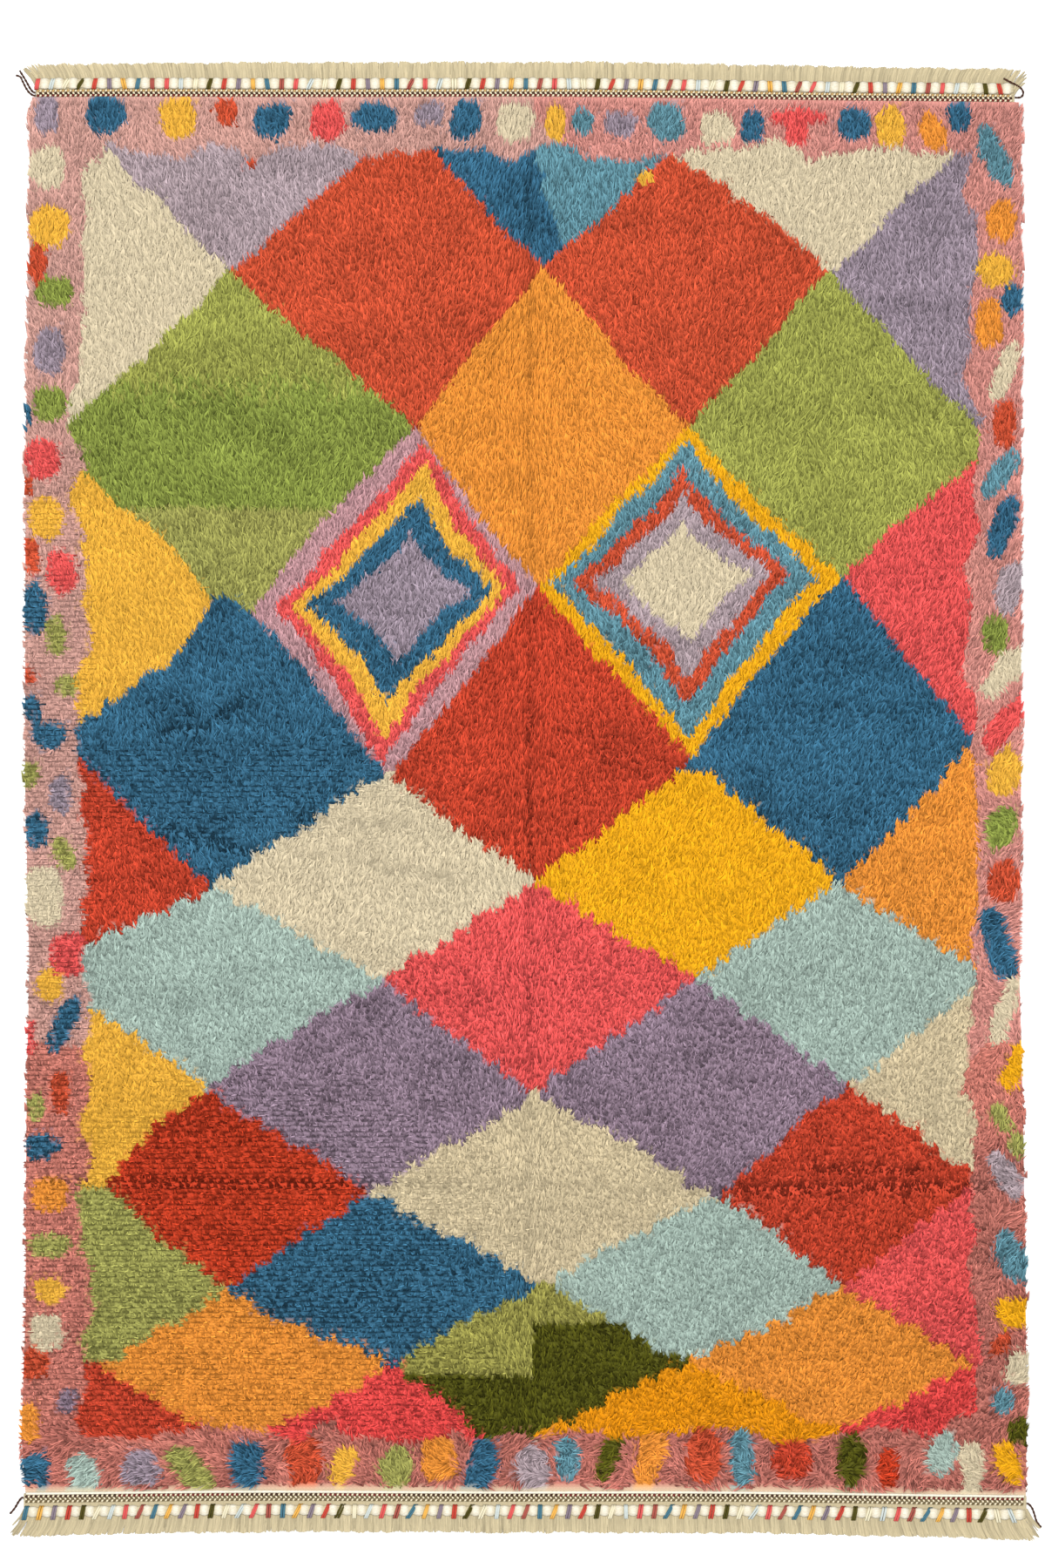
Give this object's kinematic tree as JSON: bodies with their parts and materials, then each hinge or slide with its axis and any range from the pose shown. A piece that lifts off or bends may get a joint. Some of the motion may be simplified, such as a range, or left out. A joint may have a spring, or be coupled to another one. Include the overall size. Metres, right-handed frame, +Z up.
{
  "type": "tulu rug",
  "caption": "Flat long-piled wool floor rug in a lozenge lattice, each end finished with a twined band, a couched cotton cord and a short warp fringe.",
  "frame": {"origin": "middle of the underside, on the floor", "axes": "+Y along the rug's length towards its top end, +Z up out of the pile, +X to the right"},
  "size_m": [1.7268, 2.4642, 0.0236],
  "materials": {
    "pile_wool": "long dyed wool pile in leaning locks",
    "warp_yarn": "undyed wool warp ends",
    "twining_yarn": "plied wool twining in two colours",
    "cotton": "soft white cotton roving and cord",
    "tail_yarn": "plied dark brown and dark red wool yarn"
  },
  "bodies": {
    "root": {"rug_body": "pile_wool", "top_fringe": "warp_yarn", "bottom_fringe": "warp_yarn", "top_twined_band": "twining_yarn", "bottom_twined_band": "twining_yarn", "top_padded_cord": "cotton", "bottom_padded_cord": "cotton", "bottom_edge_cord": "cotton", "top_left_yarn_tail_1": "tail_yarn", "top_left_yarn_tail_2": "tail_yarn", "top_right_yarn_tail": "tail_yarn", "bottom_left_yarn_tail": "tail_yarn", "bottom_right_yarn_tail": "tail_yarn"}
  },
  "joints": []
}
